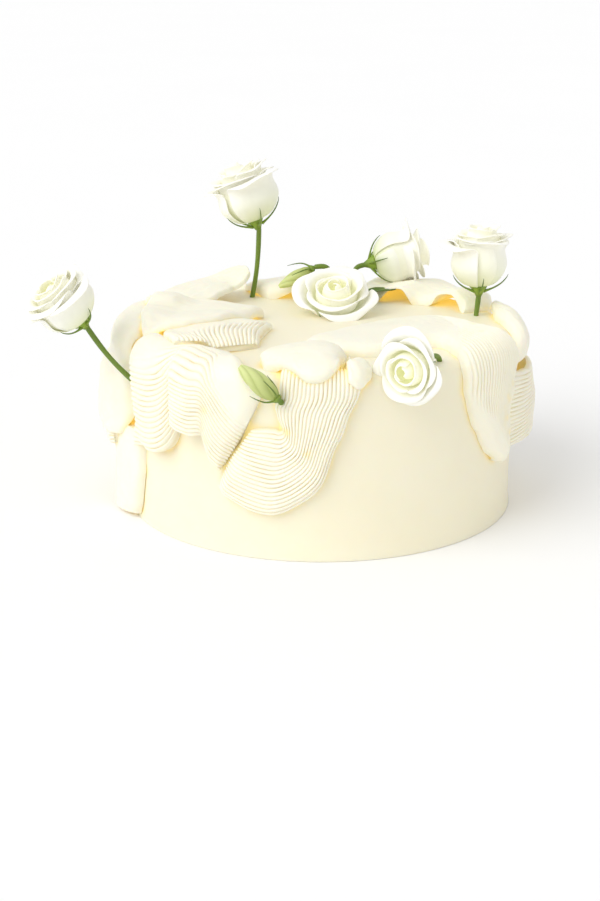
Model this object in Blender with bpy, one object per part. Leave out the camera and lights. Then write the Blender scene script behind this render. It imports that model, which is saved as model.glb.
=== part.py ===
"""Celebration cake: one smooth round tier with combed buttercream ribbons draped over its rim, and white
lisianthus flowers, some on stems pushed into the cake. Metres, +Z up, origin at the centre of the foot.

A place on the cake is (degrees, down, lift): degrees round the cake from the front (-Y), positive towards
+X; down, the millimetres along the icing from the middle of the rounded rim, negative on the top and positive
on the side; and lift, the millimetres that a ribbon's underside stands off the icing. Each ribbon is laid in
turn, and where it crosses an earlier one it rides over it.
"""

import math

import bmesh
import bpy
from mathutils import Matrix, Vector
from mathutils.bvhtree import BVHTree

MM = 0.001
SHARP_ANGLE = math.radians(50)

CAKE_RADIUS = 112 * MM
CAKE_HEIGHT = 103 * MM
RIM_ROUND = 8 * MM
FOOT_ROUND = 2.5 * MM
CAKE_SIDES = 48
RIM_STEPS = 3

RIBBON_THICKNESS = 3.0
RIDGE_DEPTH = 1.0
EDGE_THICKNESS = 0.55
EDGE_SHARPNESS = 6
RIDGE_SHARPNESS = 6
SMOOTH_FACES = 4
LOW_FACES = 4
LAY_GAP = 1.2
LAY_REACH = 4.0
RIM_STAND = 4.0
RIM_REACH = 8.0
PROBES = 8
PROBE_HEIGHT = 60 * MM
LEAST_ROUND = 20 * MM
CLEAR = 0.4 * MM

STEM_RADIUS = 1.5 * MM
STEM_POINTS = 5
CALYX_HEIGHT = 7 * MM
CALYX_RADIUS = 5.2 * MM
# Where the calyx has widened to a share of its radius, as (share of its height, share of its radius).
CALYX_WAIST = (0.4, 0.6)
# A sepal's run from the calyx, as (radius, height) in shares of the flower's size, and its radius along it.
# The sepals of a bud lie along it.
SEPAL_RUN = ((0.10, -0.08), (0.32, 0.01), (0.47, 0.18))
BUD_SEPAL_RUN = ((0.05, -0.05), (0.42, 0.25), (0.62, 0.80))
SEPAL_RADII = (1.0 * MM, 0.8 * MM, 0.3 * MM)
SEPAL_OFFSET = 0.3
BUD_NECK = 3 * MM
BUD_CALYX = 3 * MM
BUD_SIDES = 8
BUD_RINGS = 5
BUD_TWIST = 1.1
BUD_FOLD = 0.12
BUD_LOW = 0.75
BUD_BLUNT = 0.8

LEAF_ACROSS = 3
LEAF_ALONG = 5
LEAF_END = 0.15
LEAF_BLUNT = 0.8
LEAF_CURL = 0.5

PETAL_THICKNESS = 0.9 * MM
PETAL_ACROSS = 3
PETAL_UP = 3
PETAL_ROUND = 0.25
PETAL_SPIRAL = 0.12
PETAL_RUFFLE = 0.03
OUTER_PETALS = 4
HEART_FOOT = 0.30
HEART_SWELL = 0.26
HEART_LIFT = 0.012
HEART_START = 0.10
HEART_RUN = 0.75
INNER_TURN = math.radians(40)
INNER_SPREAD = math.radians(130)
OUTER_SPREAD = math.radians(200)
OUTER_UNEVEN = 0.03

# Side views of a petal from its foot to its lip, as (radius, height) in shares of the bloom's size, for a
# closed cup and for an open bowl, and the height of the closed heart in each.
CUP_INNER = ((0.03, 0.12), (0.35, 0.34), (0.33, 0.66), (0.46, 0.82))
CUP_OUTER = ((0.03, 0.04), (0.41, 0.22), (0.41, 0.56), (0.60, 0.63))
CUP_HEART = 0.90
BOWL_INNER = ((0.03, 0.10), (0.31, 0.22), (0.37, 0.40), (0.48, 0.48))
BOWL_OUTER = ((0.03, 0.04), (0.40, 0.13), (0.55, 0.27), (0.70, 0.25))
BOWL_HEART = 0.46

BUTTERCREAM = (0.93, 0.86, 0.62)
RIBBON_CREAM = (0.96, 0.91, 0.70)
PETAL_WHITE = (0.93, 0.93, 0.88)
STEM_GREEN = (0.16, 0.30, 0.05)
BUD_GREEN = (0.55, 0.65, 0.28)

laid = []
pieces = []


def clear_scene():
    for thing in list(bpy.data.objects):
        bpy.data.objects.remove(thing)


def material(name, colour, roughness):
    made = bpy.data.materials.get(name)
    if made is None:
        made = bpy.data.materials.new(name)
        made.use_nodes = True
        shader = made.node_tree.nodes["Principled BSDF"]
        shader.inputs["Base Color"].default_value = (*colour, 1)
        shader.inputs["Roughness"].default_value = roughness
        shader.inputs["Metallic"].default_value = 0
    return made


def icing_place(degrees, down, lift=0.0):
    """The point lift above the icing and the icing's outward direction there, with down in metres."""
    along = down + RIM_ROUND * math.pi / 4
    bend = min(max(along / RIM_ROUND, 0), math.pi / 2)
    radius = CAKE_RADIUS - RIM_ROUND + RIM_ROUND * math.sin(bend) + min(along, 0)
    height = CAKE_HEIGHT - RIM_ROUND + RIM_ROUND * math.cos(bend) - max(along - RIM_ROUND * math.pi / 2, 0)
    turn = math.radians(degrees)
    outward = Vector((math.sin(turn) * math.sin(bend), -math.cos(turn) * math.sin(bend), math.cos(bend)))
    return Vector((radius * math.sin(turn), -radius * math.cos(turn), height)) + outward * lift, outward


def mesh_object(name, verts, faces, finish):
    mesh = bpy.data.meshes.new(name)
    mesh.from_pydata([tuple(v) for v in verts], [], faces)
    mesh.materials.append(finish)
    made = bpy.data.objects.new(name, mesh)
    bpy.context.scene.collection.objects.link(made)
    shape = bmesh.new()
    shape.from_mesh(mesh)
    bmesh.ops.recalc_face_normals(shape, faces=shape.faces)
    shape.to_mesh(mesh)
    shape.free()
    mesh.shade_smooth()
    mesh.set_sharp_from_angle(angle=SHARP_ANGLE)
    return made


def bvh_of(thing):
    """A search tree of a finished piece, in world space."""
    shape = bmesh.new()
    shape.from_object(thing, bpy.context.evaluated_depsgraph_get())
    shape.transform(thing.matrix_world)
    tree = BVHTree.FromBMesh(shape)
    shape.free()
    return tree


def largest_piece(thing):
    """Drops the loose scraps that a cut leaves, and keeps the biggest body."""
    shape = bmesh.new()
    shape.from_mesh(thing.data)
    left = set(shape.faces)
    bodies = []
    while left:
        body = [left.pop()]
        for face in body:
            for edge in face.edges:
                for other in edge.link_faces:
                    if other in left and len(edge.link_faces) == 2:
                        left.remove(other)
                        body.append(other)
        bodies.append(body)
    bodies.sort(key=len)
    for body in bodies[:-1]:
        bmesh.ops.delete(shape, geom=body, context="FACES")
    shape.to_mesh(thing.data)
    shape.free()


def boolean(thing, operation, solver, cutter=None, group=None):
    """One Boolean on thing by an object or a collection, applied to its mesh."""
    cut = thing.modifiers.new("cut", "BOOLEAN")
    cut.operation = operation
    cut.solver = solver
    if group is None:
        cut.object = cutter
    else:
        cut.operand_type = "COLLECTION"
        cut.collection = group
    bpy.context.view_layer.update()
    result = bpy.data.meshes.new_from_object(thing.evaluated_get(bpy.context.evaluated_depsgraph_get()))
    thing.modifiers.clear()
    thing.data = result


def swollen(thing, gap):
    """A copy of a finished piece, swollen all over by the gap."""
    mesh = thing.data.copy()
    for vert, normal in zip(mesh.vertices, [v.vector.copy() for v in mesh.vertex_normals]):
        vert.co += normal * gap
    made = bpy.data.objects.new("swollen", mesh)
    bpy.context.scene.collection.objects.link(made)
    return made


def clear_of(thing, others, solver="EXACT"):
    """Cuts thing back from the others by the gap, and by twice the gap where it still touches one."""
    for other in others:
        for gap in (CLEAR, 2 * CLEAR):
            cutter = swollen(other, gap)
            bpy.context.view_layer.update()
            if bvh_of(thing).overlap(bvh_of(cutter if gap == CLEAR else other)):
                boolean(thing, "DIFFERENCE", solver, cutter)
                largest_piece(thing)
            bpy.data.objects.remove(cutter)


def smooth_path(points, count):
    """count places along a smooth curve through the given rail points (Catmull-Rom)."""
    rows = []
    last = len(points) - 1
    for step in range(count):
        along = step / (count - 1) * last
        first = min(int(along), last - 1)
        t = along - first
        before = points[max(first - 1, 0)]
        start = points[first]
        end = points[first + 1]
        after = points[min(first + 2, last)]
        rows.append([
            0.5 * (2 * b + (c - a) * t + (2 * a - 5 * b + 4 * c - d) * t * t
                   + (3 * b - a - 3 * c + d) * t ** 3)
            for a, b, c, d in zip(before, start, end, after)
        ])
    return rows


def height_laid(degrees, down):
    """The height above the icing, in millimetres, of whatever is already laid near a place."""
    highest = 0.0
    round_place = CAKE_RADIUS + min(down, 0) * MM
    spots = [(0, 0)]
    for probe in range(PROBES):
        turn = 2 * math.pi * probe / PROBES
        spots.append((LAY_REACH * math.cos(turn), LAY_REACH * math.sin(turn)))
    for side, along in spots:
        shift = math.degrees(side * MM / max(round_place, LEAST_ROUND))
        point, outward = icing_place(degrees + shift, (down + along) * MM, PROBE_HEIGHT)
        for tree in laid:
            hit = tree.ray_cast(point, -outward, PROBE_HEIGHT)
            if hit[3] is not None:
                highest = max(highest, (PROBE_HEIGHT - hit[3]) / MM)
    return highest


def rim_stand(down):
    """How far a ribbon stands off the icing where it bends over the rim, in millimetres."""
    return RIM_STAND * min(1.0, max(0.0, 2 - abs(down) / RIM_REACH))


def ridge_height(across, ridges, fade):
    """How far a combed ridge stands up at a share of the ribbon's width. fade is the share left smooth."""
    shown = min(1.0, max(0.0, (across - fade) * RIDGE_SHARPNESS + 1))
    return RIDGE_DEPTH * shown * (0.5 - 0.5 * math.cos(across * ridges * 2 * math.pi))


def ribbon(name, rail_a, rail_b, stations, ridges=0, crown=1.5, fade=(0.0, 0.0)):
    """A ribbon of icing between two rails. Ridges run along it; crown is how far its middle bows up."""
    a_path = smooth_path(rail_a, stations)
    b_path = smooth_path(rail_b, stations)
    fades = smooth_path([(share,) for share in fade], stations)
    top_count = 2 * ridges if ridges else SMOOTH_FACES
    verts = []
    faces = []
    for a, b, (smooth_share,) in zip(a_path, b_path, fades):
        places = []
        lows = []
        for i in range(LOW_FACES + 1):
            v = i / LOW_FACES
            degrees, down, lift = (p + (q - p) * v for p, q in zip(a, b))
            lift += crown * math.sin(math.pi * v)
            places.append((degrees, down))
            lows.append(max(lift, rim_stand(down), height_laid(degrees, down) + LAY_GAP))
        for i in range(top_count + 1):
            v = i / top_count
            degrees, down, _ = (p + (q - p) * v for p, q in zip(a, b))
            at = min(int(v * LOW_FACES), LOW_FACES - 1)
            low = lows[at] + (lows[at + 1] - lows[at]) * (v * LOW_FACES - at)
            edge = min(1.0, min(v, 1 - v) * EDGE_SHARPNESS)
            high = low + RIBBON_THICKNESS * (EDGE_THICKNESS + (1 - EDGE_THICKNESS) * edge)
            if ridges:
                high += ridge_height(v, ridges, smooth_share)
            verts.append(icing_place(degrees, down * MM, high * MM)[0])
        for (degrees, down), low in reversed(list(zip(places, lows))):
            verts.append(icing_place(degrees, down * MM, low * MM)[0])
    ring = top_count + LOW_FACES + 2
    for s in range(stations - 1):
        for i in range(ring):
            j = (i + 1) % ring
            faces.append((s * ring + i, s * ring + j, (s + 1) * ring + j, (s + 1) * ring + i))
    for s in (0, stations - 1):
        tops = [s * ring + i for i in range(top_count + 1)]
        undersides = [s * ring + ring - 1 - i for i in range(LOW_FACES + 1)]
        for i in range(LOW_FACES):
            first = round(i * top_count / LOW_FACES)
            end = round((i + 1) * top_count / LOW_FACES)
            faces.append(tuple(tops[first:end + 1] + [undersides[i + 1], undersides[i]]))
    made = mesh_object(name, verts, faces, material("ribbon_cream", RIBBON_CREAM, 0.55))
    clear_of(made, pieces)
    laid.append(bvh_of(made))
    pieces.append(made)
    return made


def cake_body():
    """The smooth tier, turned from its profile: flat foot, upright side and rounded rim."""
    rings = []
    for step in range(RIM_STEPS + 1):
        bend = step / RIM_STEPS * math.pi / 2
        rings.append((CAKE_RADIUS - RIM_ROUND + RIM_ROUND * math.sin(bend),
                      CAKE_HEIGHT - RIM_ROUND + RIM_ROUND * math.cos(bend)))
    rings += [(CAKE_RADIUS, FOOT_ROUND), (CAKE_RADIUS - FOOT_ROUND, 0)]
    verts = [(0, 0, CAKE_HEIGHT), (0, 0, 0)]
    faces = []
    for radius, height in rings:
        for side in range(CAKE_SIDES):
            turn = 2 * math.pi * side / CAKE_SIDES
            verts.append((radius * math.cos(turn), radius * math.sin(turn), height))
    foot = 2 + (len(rings) - 1) * CAKE_SIDES
    for side in range(CAKE_SIDES):
        after = (side + 1) % CAKE_SIDES
        faces.append((0, 2 + side, 2 + after))
        faces.append((1, foot + after, foot + side))
        for ring in range(len(rings) - 1):
            here = 2 + ring * CAKE_SIDES
            below = here + CAKE_SIDES
            faces.append((here + side, below + side, below + after, here + after))
    return mesh_object("cake_body", verts, faces, material("buttercream", BUTTERCREAM, 0.5))


def lay_ribbons():
    """Every ribbon of the cake, the lowest first."""
    ribbon("ribbon_left_flap",
           [(-86, 50, 6), (-86, 66, 6), (-84, 82, 6), (-80, 98.5, 7)],
           [(-60, 48, 1.5), (-61, 66, 2), (-63, 82, 2.5), (-66, 98.5, 3)], 8)
    ribbon("ribbon_left_ruffle",
           [(-74, 20, 2), (-84, 18, 7), (-94, 20, 10), (-103, 22, 4), (-111, 22, 2), (-120, 20, 9),
            (-129, 22, 9), (-138, 24, 3)],
           [(-74, 60, 2), (-84, 66, 9), (-94, 68, 12), (-103, 64, 6), (-111, 66, 2), (-120, 70, 11),
            (-129, 74, 12), (-138, 68, 3)], 12, ridges=9)
    ribbon("ribbon_left_corner",
           [(-103, -24, 5), (-101, -10, 7), (-98, 6, 7), (-95, 22, 6), (-92, 37, 5), (-90, 52, 4)],
           [(-76, -22, 3), (-74, -10, 4), (-72, 6, 4), (-71, 22, 4), (-70, 37, 3), (-70, 52, 3)], 11)
    ribbon("ribbon_left_wave",
           [(-66, -14, 2), (-62, -15, 2), (-58, -16, 2), (-54, -17, 2), (-50, -18, 2), (-47, -19, 2),
            (-44.5, -20, 2), (-42, -20, 2), (-38.5, -20, 2), (-35, -20, 2), (-31, -19, 2), (-27, -14, 2),
            (-22, -4, 2), (-15.5, 9, 2)],
           [(-61, 54, 2), (-56.5, 53, 4), (-52, 52.5, 6), (-48, 51, 6), (-45, 47, 5),
            (-43, 41, 3), (-41.8, 35, 2), (-41, 31.5, 8), (-38, 33, 10), (-35, 35, 9),
            (-32.5, 35, 5), (-31.8, 41, 4), (-30.3, 49, 4), (-28, 53.5, 3)], 17, ridges=9,
           fade=(0.42, 0.42, 0.36, 0.18, 0.12, 0.24, 0.42, 0.5))
    ribbon("ribbon_front_fan",
           [(-10.5, -3, 2), (-11, 8, 2), (-12, 15, 2), (-11.5, 20, 2), (-10.5, 24, 2), (-10, 26, 2),
            (-9.7, 26.5, 2), (-10, 27, 2), (-11.5, 27, 2), (-14, 27.5, 2), (-18, 28, 2)],
           [(10.5, -2, 3), (10, 9, 3), (8, 18, 3), (6, 29, 4), (3.5, 41, 4), (0.5, 57, 4),
            (-6, 69, 3), (-13, 75, 3), (-20, 73, 3), (-26, 68, 3), (-28, 63, 3)], 16, ridges=9)
    ribbon("ribbon_right_ruffle",
           [(58, 12, 2), (66, 14, 4), (75, 17, 6), (84, 18, 7), (93, 18, 7), (101, 18, 5), (109, 17, 2),
            (117, 17, 8), (125, 18, 8), (132, 20, 2)],
           [(57, 58, 2), (66, 58, 4), (75, 57, 7), (84, 57, 9), (93, 57, 9), (101, 60, 7),
            (109, 62, 2), (117, 66, 9), (125, 70, 10), (132, 64, 2)], 13, ridges=9)
    ribbon("ribbon_right_rim",
           [(96, -8, 3), (89, -5, 3), (83, 0, 3), (78, 6, 3), (75, 13, 2)],
           [(109, -4, 5), (103, -2, 6), (98, 2, 6), (93, 7, 5), (89, 13, 4)], 9)
    ribbon("ribbon_back_wave",
           [(146, 4, 2), (158, -4, 2), (169, 3, 2), (180, -5, 2), (191, 2, 2), (202, -4, 2), (212, 4, 2)],
           [(146, 46, 2), (158, 38, 7), (169, 52, 3), (180, 40, 8), (191, 54, 3), (202, 40, 7),
            (212, 48, 2)], 13, ridges=7, fade=(0.2, 0.2))
    ribbon("ribbon_back_fold",
           [(172, -44, 3), (184, -46, 8), (196, -42, 6), (206, -38, 3)],
           [(170, -10, 4), (184, -8, 5), (197, -11, 5), (208, -9, 4)], 9)
    ribbon("ribbon_back_right",
           [(162, -44, 2), (153, -42, 2), (144, -40, 8), (137, -38, 9), (130, -32, 1), (123, -27, 7),
            (116, -23, 9), (109, -20, 1)],
           [(160, -2, 5), (153, -1, 7), (144, 1, 4), (137, 1, 7), (130, 2, 5), (123, 2, 4), (116, 0, 7),
            (110, -1, 3)], 16)
    ribbon("ribbon_top_left_front",
           [(-88, -38, 3), (-76, -22, 4), (-62, -12, 4), (-48, -5, 3)],
           [(-66, -80, 3), (-50, -70, 4), (-40, -58, 4), (-32, -46, 3)], 8, ridges=8, fade=(1.2, 0.6, 0.1))
    ribbon("ribbon_top_left_back",
           [(-93, -30, 4), (-104, -36, 5), (-116, -40, 7), (-128, -38, 8), (-137, -35, 8), (-143, -34, 11),
            (-147, -31, 14)],
           [(-93, -8, 4), (-104, -5, 5), (-116, -3, 6), (-127, -3, 7), (-136, -5, 8), (-143, -8, 12),
            (-148, -14, 15)], 13)
    ribbon("ribbon_top_left_middle",
           [(-97, -13, 3), (-103, -28, 6), (-107, -44, 7), (-112, -60, 6), (-117, -73, 4)],
           [(-70, -5, 3), (-65, -18, 4), (-64, -34, 5), (-67, -50, 5), (-80, -67, 4)], 10)
    ribbon("ribbon_right_drape",
           [(-10, -48, 3), (8, -38, 3), (24, -30, 4), (42, -33, 4), (51, -27, 4), (47, -13, 4), (43, 0, 4),
            (43, 10, 3), (44, 20, 3), (46, 30, 3), (49, 40, 3), (53, 52, 2), (58, 61, 2)],
           [(0, -72, 2), (35, -84, 2), (75, -78, 2), (92, -57, 3), (87, -37, 3), (77, -19, 4),
            (70, -6, 5), (66, 4, 6), (62.5, 14, 6), (60.5, 24, 6), (59.5, 36, 5), (60.5, 50, 4),
            (61.5, 62, 3)], 18, ridges=9, crown=2,
           fade=(1.2, 1.2, 1.1, 0.45, 0.12, 0.12, 0.35, 0.75, 1.1))
    ribbon("ribbon_front_fold",
           [(-21, -24, 2), (-16, -33, 4), (-9, -38, 5), (-1, -40, 6), (6, -37, 5), (10, -32, 2)],
           [(-16, -5, 3), (-11, -3, 4), (-7, 0, 5), (-3, 3, 6), (2, 2, 6), (5, -2, 3)], 11, crown=3)
    ribbon("ribbon_front_curl",
           [(9, -13, 2), (11.5, -13, 3), (14, -10, 2)],
           [(7, 3, 2), (10, 5, 4), (13.5, 1, 2)], 5)


def between(first, second, share):
    """The outline a share of the way from the first to the second."""
    return [tuple(a + (b - a) * share for a, b in zip(p, q)) for p, q in zip(first, second)]


def outline_point(outline, share):
    """The (radius, height) at a share of the way along an outline."""
    at = share * (len(outline) - 1)
    first = min(int(at), len(outline) - 2)
    return tuple(a + (b - a) * (at - first) for a, b in zip(outline[first], outline[first + 1]))


def petal(group, outline, turn, spread, size):
    """One thin petal round the flower's axis, on an outline given in shares of the bloom's size."""
    shape = bmesh.new()
    grid = []
    for i in range(PETAL_UP + 1):
        v = i / PETAL_UP
        row = []
        for j in range(PETAL_ACROSS + 1):
            u = 2 * j / PETAL_ACROSS - 1
            radius, height = outline_point(outline, v * (1 - PETAL_ROUND * abs(u) ** 3))
            angle = turn + u * spread
            out = radius * (1 + PETAL_SPIRAL * u) + PETAL_RUFFLE * v ** 3 * math.sin(4 * u + turn)
            place = Vector((out * math.cos(angle), out * math.sin(angle), height)) * size
            row.append(shape.verts.new(place))
        grid.append(row)
    for i in range(PETAL_UP):
        for j in range(PETAL_ACROSS):
            shape.faces.new((grid[i][j], grid[i][j + 1], grid[i + 1][j + 1], grid[i + 1][j]))
    mesh = bpy.data.meshes.new("petal")
    shape.to_mesh(mesh)
    shape.free()
    made = bpy.data.objects.new("petal", mesh)
    group.objects.link(made)
    wall = made.modifiers.new("wall", "SOLIDIFY")
    wall.thickness = PETAL_THICKNESS
    wall.offset = 0
    wall.use_even_offset = False
    return made


def heart(name, size, top, finish):
    """The closed middle of a bloom, an egg that stands on the foot and rises to a share of the size."""
    shape = bmesh.new()
    bmesh.ops.create_uvsphere(shape, u_segments=6, v_segments=4, radius=0.5)
    for vert in shape.verts:
        rise = vert.co.z + 0.5
        narrow = HEART_FOOT + HEART_SWELL * math.sin(math.pi * min(1, HEART_START + rise * HEART_RUN))
        vert.co = Vector((vert.co.x * narrow, vert.co.y * narrow, rise * top + HEART_LIFT)) * size
    mesh = bpy.data.meshes.new(name)
    shape.to_mesh(mesh)
    shape.free()
    mesh.materials.append(finish)
    made = bpy.data.objects.new(name, mesh)
    bpy.context.scene.collection.objects.link(made)
    return made


def join_group(made, group):
    """Joins a collection's objects into one by a Boolean union, and removes them."""
    boolean(made, "UNION", "MANIFOLD", group=group)
    for part in list(group.objects):
        bpy.data.objects.remove(part)
    bpy.data.collections.remove(group)
    largest_piece(made)


def bloom(name, size, openness, foot, direction, turn):
    """A double bloom: a closed heart with overlapping petals round it, joined into one solid."""
    finish = material("petal_white", PETAL_WHITE, 0.6)
    made = heart(name, size * MM, CUP_HEART + (BOWL_HEART - CUP_HEART) * openness, finish)
    group = bpy.data.collections.new(name + "_petals")
    bpy.context.scene.collection.children.link(group)
    inner = between(CUP_INNER, BOWL_INNER, openness)
    outer = between(CUP_OUTER, BOWL_OUTER, openness)
    petal(group, inner, INNER_TURN, INNER_SPREAD, size * MM)
    for i in range(OUTER_PETALS):
        petal(group, outer, 2 * math.pi * i / OUTER_PETALS, OUTER_SPREAD / OUTER_PETALS,
              size * MM * (1 + OUTER_UNEVEN * (i % 2)))
    join_group(made, group)
    made.data.transform(aim(foot, direction, turn))
    made.data.shade_smooth()
    made.data.set_sharp_from_angle(angle=SHARP_ANGLE)
    clear_of(made, pieces, "MANIFOLD")
    pieces.append(made)
    return made


def aim(origin, direction, turn=0):
    """A matrix that stands a flower's own Z axis along direction, with its foot at origin (millimetres)."""
    facing = Vector(direction).to_track_quat("Z", "Y").to_matrix().to_4x4()
    return Matrix.Translation(Vector(origin) * MM) @ facing @ Matrix.Rotation(math.radians(turn), 4, "Z")


def tube(points, radii, sides=5):
    """Vertices and faces of a round rod through the points, with a radius at each."""
    verts = []
    faces = []
    for k, point in enumerate(points):
        ahead = points[min(k + 1, len(points) - 1)] - points[max(k - 1, 0)]
        facing = ahead.to_track_quat("Z", "Y").to_matrix()
        for s in range(sides):
            turn = 2 * math.pi * s / sides
            verts.append(point + facing @ Vector((math.cos(turn), math.sin(turn), 0)) * radii[k])
    for k in range(len(points) - 1):
        for s in range(sides):
            t = (s + 1) % sides
            faces.append((k * sides + s, k * sides + t, (k + 1) * sides + t, (k + 1) * sides + s))
    faces.append(tuple(range(sides - 1, -1, -1)))
    faces.append(tuple((len(points) - 1) * sides + s for s in range(sides)))
    return verts, faces


def stem(name, foot, top, direction, bow, size, sepals=5, calyx=CALYX_RADIUS, neck_length=CALYX_HEIGHT,
         run=SEPAL_RUN):
    """A stem from its foot in the cake to the bloom, widening into the calyx, with thin curved sepals."""
    green = material("stem_green", STEM_GREEN, 0.5)
    end = Vector(top) * MM
    axis = Vector(direction).normalized()
    neck = end - axis * neck_length
    start = Vector(foot) * MM
    pull = Vector(bow) * MM
    points = []
    for step in range(STEM_POINTS):
        t = step / (STEM_POINTS - 1)
        points.append(start.lerp(neck, t) + pull * math.sin(math.pi * t))
    radii = [STEM_RADIUS] * STEM_POINTS
    points += [neck + axis * neck_length * CALYX_WAIST[0], end - axis * CLEAR]
    radii += [calyx * CALYX_WAIST[1], calyx]
    verts, faces = tube(points, radii)
    made = mesh_object(name, verts, faces, green)
    group = bpy.data.collections.new(name + "_sepals")
    bpy.context.scene.collection.children.link(group)
    stand = aim((0, 0, 0), axis)
    for i in range(sepals):
        turn = 2 * math.pi * (i + SEPAL_OFFSET) / sepals
        blade = []
        for out, rise in run:
            place = Vector((out * math.cos(turn), out * math.sin(turn), rise)) * size * MM
            blade.append(end + stand @ place)
        sepal_verts, sepal_faces = tube(blade, SEPAL_RADII, sides=3)
        sepal = mesh_object("sepal", sepal_verts, sepal_faces, green)
        bpy.context.scene.collection.objects.unlink(sepal)
        group.objects.link(sepal)
    join_group(made, group)
    away = (points[1] - points[0]).normalized() * CLEAR * 2
    socket_verts, socket_faces = tube([points[0] - away] + points[1:], [r + CLEAR * 1.4 for r in radii])
    cutter = mesh_object("socket", socket_verts, socket_faces, green)
    bpy.context.view_layer.update()
    for piece in pieces:
        if bvh_of(piece).overlap(bvh_of(cutter)):
            boolean(piece, "DIFFERENCE", "MANIFOLD", cutter)
            largest_piece(piece)
    bpy.data.objects.remove(cutter)
    clear_of(made, pieces, "MANIFOLD")
    pieces.append(made)
    return made


def bud(name, foot, tip, width):
    """A closed bud: a twisted, tapering body from its calyx to the tip, places in millimetres."""
    start = Vector(foot) * MM
    run = Vector(tip) * MM - start
    stand = run.to_track_quat("Z", "Y").to_matrix()
    verts = [start + run.normalized() * CLEAR]
    faces = []
    for ring in range(1, BUD_RINGS):
        t = ring / BUD_RINGS
        swell = math.sin(math.pi * t ** BUD_LOW) ** BUD_BLUNT * width / 2 * MM
        for side in range(BUD_SIDES):
            turn = 2 * math.pi * side / BUD_SIDES + BUD_TWIST * t
            radius = swell * (1 + BUD_FOLD * (-1) ** side)
            place = Vector((radius * math.cos(turn), radius * math.sin(turn), run.length * t))
            verts.append(start + stand @ place)
    verts.append(start + run)
    last = 1 + (BUD_RINGS - 2) * BUD_SIDES
    for side in range(BUD_SIDES):
        after = (side + 1) % BUD_SIDES
        faces.append((0, 1 + after, 1 + side))
        for ring in range(BUD_RINGS - 2):
            here = 1 + ring * BUD_SIDES
            above = here + BUD_SIDES
            faces.append((here + side, here + after, above + after, above + side))
        faces.append((last + side, last + after, len(verts) - 1))
    made = mesh_object(name, verts, faces, material("bud_green", BUD_GREEN, 0.55))
    clear_of(made, pieces, "MANIFOLD")
    pieces.append(made)
    return made


def leaf(name, foot, tip, width, rise):
    """A thin wavy leaf, its two faces split alike."""
    start = Vector(foot) * MM
    run = Vector(tip) * MM - start
    side = run.cross(Vector((0, 0, 1))).normalized()
    tops = []
    for i in range(LEAF_ALONG + 1):
        t = i / LEAF_ALONG
        half = width / 2 * MM * (LEAF_END + (1 - LEAF_END) * math.sin(math.pi * t) ** LEAF_BLUNT)
        for j in range(LEAF_ACROSS + 1):
            u = 2 * j / LEAF_ACROSS - 1
            lift = rise * MM * (math.sin(math.pi * t) + LEAF_CURL * u * u * math.sin(5 * t))
            tops.append(start + run * t + side * half * u + Vector((0, 0, lift)))
    lows = [point - Vector((0, 0, PETAL_THICKNESS)) for point in tops]
    count = len(tops)
    row = LEAF_ACROSS + 1
    faces = []
    for i in range(LEAF_ALONG):
        for j in range(LEAF_ACROSS):
            a = i * row + j
            b = a + 1
            c = b + row
            d = a + row
            faces += [(a, b, c), (a, c, d)]
            faces += [(count + a, count + c, count + b), (count + a, count + d, count + c)]
    border = [j for j in range(LEAF_ACROSS)]
    border += [i * row + LEAF_ACROSS for i in range(LEAF_ALONG)]
    border += [LEAF_ALONG * row + LEAF_ACROSS - j for j in range(LEAF_ACROSS)]
    border += [(LEAF_ALONG - i) * row for i in range(LEAF_ALONG)]
    for k, here in enumerate(border):
        after = border[(k + 1) % len(border)]
        faces.append((here, count + here, count + after, after))
    made = mesh_object(name, tops + lows, faces, material("stem_green", STEM_GREEN, 0.5))
    clear_of(made, pieces, "MANIFOLD")
    pieces.append(made)
    return made


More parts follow.
